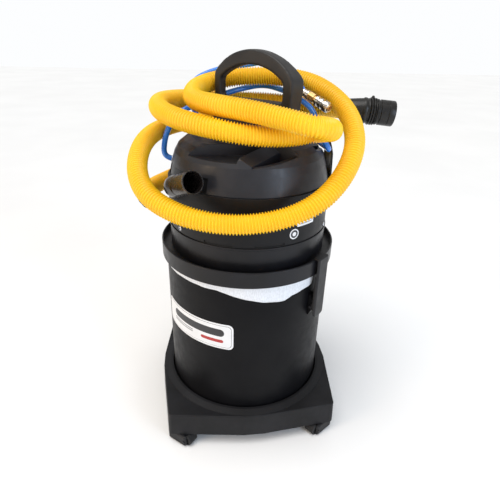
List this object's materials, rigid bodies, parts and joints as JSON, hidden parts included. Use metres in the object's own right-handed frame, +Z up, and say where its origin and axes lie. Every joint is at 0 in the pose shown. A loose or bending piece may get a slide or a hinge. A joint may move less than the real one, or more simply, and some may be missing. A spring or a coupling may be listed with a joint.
{
  "type": "shop vacuum",
  "caption": "Air-driven shop vacuum: black drum on a castor trolley, latched collar, domed head with carry handle, and yellow suction and blue air hoses coiled on top.",
  "frame": {"origin": "floor point on the drum's vertical axis", "axes": "+Z up; the trolley's sides are square to X and Y; the handle's front points along +X -Y; the pictured side faces -Y"},
  "size_m": [0.5629, 0.4685, 0.8575],
  "materials": {
    "trolley_plastic": "satin moulded",
    "castor_plastic": "moulded",
    "wheel_rubber": "ribbed tread",
    "steel": "zinc plated",
    "drum_plastic": "satin moulded",
    "collar_plastic": "satin moulded",
    "latch_plastic": "satin moulded",
    "filter_cloth": "non-woven",
    "seal_rubber": "soft",
    "label_film": "printed film",
    "badge_film": "printed film",
    "head_plastic": "satin moulded",
    "cover_plastic": "satin moulded",
    "handle_plastic": "satin moulded",
    "elbow_plastic": "glossy",
    "cast_metal": "as cast",
    "foam": "open-cell foam",
    "suction_hose_plastic": "corrugated",
    "air_hose_plastic": "smooth",
    "cuff_rubber": "semi-gloss",
    "nickel": "nickel plated",
    "float_plastic": "moulded"
  },
  "bodies": {
    "base": {"trolley_base": "trolley_plastic", "drum": "drum_plastic", "suction_inlet": "collar_plastic", "inlet_screws": "steel", "inlet_deflector": "collar_plastic", "collar_ring": "collar_plastic", "filter_bag": "filter_cloth", "filter_ring": "steel", "collar_seal": "seal_rubber", "drum_label": "label_film", "latch_front_bracket": "drum_plastic", "latch_front_pin": "steel", "latch_rear_bracket": "drum_plastic", "latch_rear_pin": "steel"},
    "head": {"head_lower_shell": "head_plastic", "upper_cover": "cover_plastic", "head_seal": "seal_rubber", "carry_handle": "handle_plastic", "handle_screws": "steel", "exhaust_elbow": "elbow_plastic", "exhaust_seal": "seal_rubber", "ejector_body": "cast_metal", "ejector_nozzle": "nickel", "air_manifold": "cast_metal", "silencer_sleeve": "foam", "air_fitting": "elbow_plastic", "fitting_collet": "nickel", "hose_hook": "head_plastic", "hook_screws": "steel", "head_screws": "steel", "rating_plate": "badge_film", "round_badge": "badge_film", "float_cage": "float_plastic", "suction_hose": "suction_hose_plastic", "air_hose": "air_hose_plastic", "cuff_elbow": "cuff_rubber", "tool_cuff": "cuff_rubber", "coupler_ferrule": "nickel", "coupler_body": "nickel"},
    "float": {"float_ball": "float_plastic"},
    "coupler_sleeve": {"coupler_sleeve": "nickel"},
    "cuff_swivel": {"cuff_ring": "cuff_rubber", "cuff_sleeve": "cuff_rubber"},
    "latch_front": {"latch_front": "latch_plastic"},
    "latch_rear": {"latch_rear": "latch_plastic"},
    "castor_front_left": {"castor_front_left_fork": "castor_plastic", "castor_front_left_axle": "steel"},
    "wheel_front_left": {"castor_front_left_wheel": "wheel_rubber"},
    "castor_front_right": {"castor_front_right_fork": "castor_plastic", "castor_front_right_axle": "steel"},
    "wheel_front_right": {"castor_front_right_wheel": "wheel_rubber"},
    "castor_rear_right": {"castor_rear_right_fork": "castor_plastic", "castor_rear_right_axle": "steel"},
    "wheel_rear_right": {"castor_rear_right_wheel": "wheel_rubber"},
    "castor_rear_left": {"castor_rear_left_fork": "castor_plastic", "castor_rear_left_axle": "steel"},
    "wheel_rear_left": {"castor_rear_left_wheel": "wheel_rubber"}
  },
  "joints": [
    {"name": "head_lift", "type": "slide", "parent": "base", "child": "head", "axis": [0, 0, 1], "range_m": [0, 0.3]},
    {"name": "float_rise", "type": "slide", "parent": "head", "child": "float", "axis": [0, 0, 1], "range_m": [0, 0.031]},
    {"name": "latch_front_swing", "type": "hinge", "parent": "base", "child": "latch_front", "pos_m": [0.14001, -0.14001, 0.345], "axis": [0.7071, 0.7071, 0], "range_deg": [0, 24]},
    {"name": "latch_rear_swing", "type": "hinge", "parent": "base", "child": "latch_rear", "pos_m": [-0.14001, 0.14001, 0.345], "axis": [-0.7071, -0.7071, 0], "range_deg": [0, 24]},
    {"name": "cuff_turn", "type": "hinge", "parent": "head", "child": "cuff_swivel", "pos_m": [0.248, -0.006, 0.743], "axis": [0.9819, -0.1693, -0.0846], "continuous": true},
    {"name": "coupler_sleeve_slide", "type": "slide", "parent": "head", "child": "coupler_sleeve", "axis": [-0.5976, 0.7198, 0.3531], "range_m": [0, 0.0045], "stiffness_N_per_m": 600, "springref_m": -0.002},
    {"name": "castor_front_left_swivel", "type": "hinge", "parent": "base", "child": "castor_front_left", "pos_m": [-0.17748, -0.17748, 0.031], "axis": [0, 0, 1], "continuous": true},
    {"name": "wheel_front_left_spin", "type": "hinge", "parent": "castor_front_left", "child": "wheel_front_left", "pos_m": [-0.15297, -0.19805, 0.015], "axis": [-0.6428, -0.766, 0], "continuous": true},
    {"name": "castor_front_right_swivel", "type": "hinge", "parent": "base", "child": "castor_front_right", "pos_m": [0.17748, -0.17748, 0.031], "axis": [0, 0, 1], "continuous": true},
    {"name": "wheel_front_right_spin", "type": "hinge", "parent": "castor_front_right", "child": "wheel_front_right", "pos_m": [0.15127, -0.19584, 0.015], "axis": [-0.5736, 0.8192, 0], "continuous": true},
    {"name": "castor_rear_right_swivel", "type": "hinge", "parent": "base", "child": "castor_rear_right", "pos_m": [0.17748, 0.17748, 0.031], "axis": [0, 0, 1], "continuous": true},
    {"name": "wheel_rear_right_spin", "type": "hinge", "parent": "castor_rear_right", "child": "wheel_rear_right", "pos_m": [0.15297, 0.15691, 0.015], "axis": [-0.6428, 0.766, 0], "continuous": true},
    {"name": "castor_rear_left_swivel", "type": "hinge", "parent": "base", "child": "castor_rear_left", "pos_m": [-0.17748, 0.17748, 0.031], "axis": [0, 0, 1], "continuous": true},
    {"name": "wheel_rear_left_spin", "type": "hinge", "parent": "castor_rear_left", "child": "wheel_rear_left", "pos_m": [-0.14848, 0.19101, 0.015], "axis": [0.4226, -0.9063, 0], "continuous": true}
  ]
}
